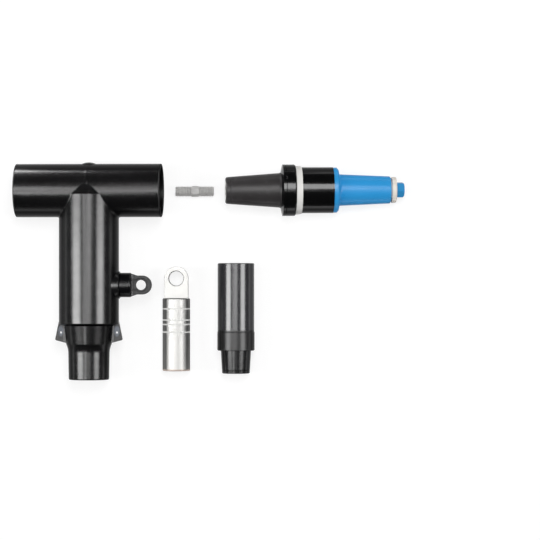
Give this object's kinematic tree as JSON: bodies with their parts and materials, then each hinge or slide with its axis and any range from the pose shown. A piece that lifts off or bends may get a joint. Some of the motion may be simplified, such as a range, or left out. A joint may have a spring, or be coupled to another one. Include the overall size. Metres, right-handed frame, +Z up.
{
  "type": "deadbreak connector",
  "caption": "Rubber-shielded tee for joining underground power cable, laid out with its stud, reducing plug, crimp lug and cable adapter.",
  "frame": {"origin": "middle of the layout's footprint, on the surface that the pieces lie on", "axes": "+X along the tee's crossbar towards the reducing plug, +Y up the tee's stem towards the crossbar, +Z up from the surface"},
  "size_m": [0.5856, 0.3257, 0.09],
  "materials": {
    "tee_shield": "semi-gloss black moulded rubber",
    "tee_insulation": "dark insulating rubber",
    "tee_insert": "matt black conductive rubber",
    "test_electrode": "turned",
    "test_cap": "matt black conductive rubber",
    "threaded_stud": "tin plated, dull",
    "plug_cone": "dark grey moulded rubber",
    "plug_shield": "glossy black moulded rubber",
    "indicator_ring": "cream band",
    "plug_insulation": "blue moulded insulating rubber",
    "nose_ring": "cream moulded plastic",
    "shipping_plug": "blue moulded plastic",
    "plug_conductor": "turned",
    "female_contact": "plated copper",
    "contact_spring": "drawn wire",
    "snuffer_tube": "filament wound glass and resin",
    "snuffer_liner": "white arc quenching plastic",
    "compression_lug": "satin, tin plated",
    "adapter_insulation": "dark grey insulating rubber",
    "adapter_stress_cone": "black conductive rubber"
  },
  "bodies": {
    "root": {"tee_shield": "tee_shield", "tee_insulation": "tee_insulation", "tee_insert": "tee_insert", "test_electrode": "test_electrode", "test_cap": "test_cap", "threaded_stud": "threaded_stud", "plug_cone": "plug_cone", "plug_shield": "plug_shield", "indicator_ring": "indicator_ring", "plug_insulation": "plug_insulation", "nose_ring": "nose_ring", "shipping_plug": "shipping_plug", "plug_conductor": "plug_conductor", "female_contact": "female_contact", "contact_spring": "contact_spring", "snuffer_tube": "snuffer_tube", "snuffer_liner": "snuffer_liner", "compression_lug": "compression_lug", "adapter_insulation": "adapter_insulation", "adapter_stress_cone": "adapter_stress_cone"}
  },
  "joints": []
}
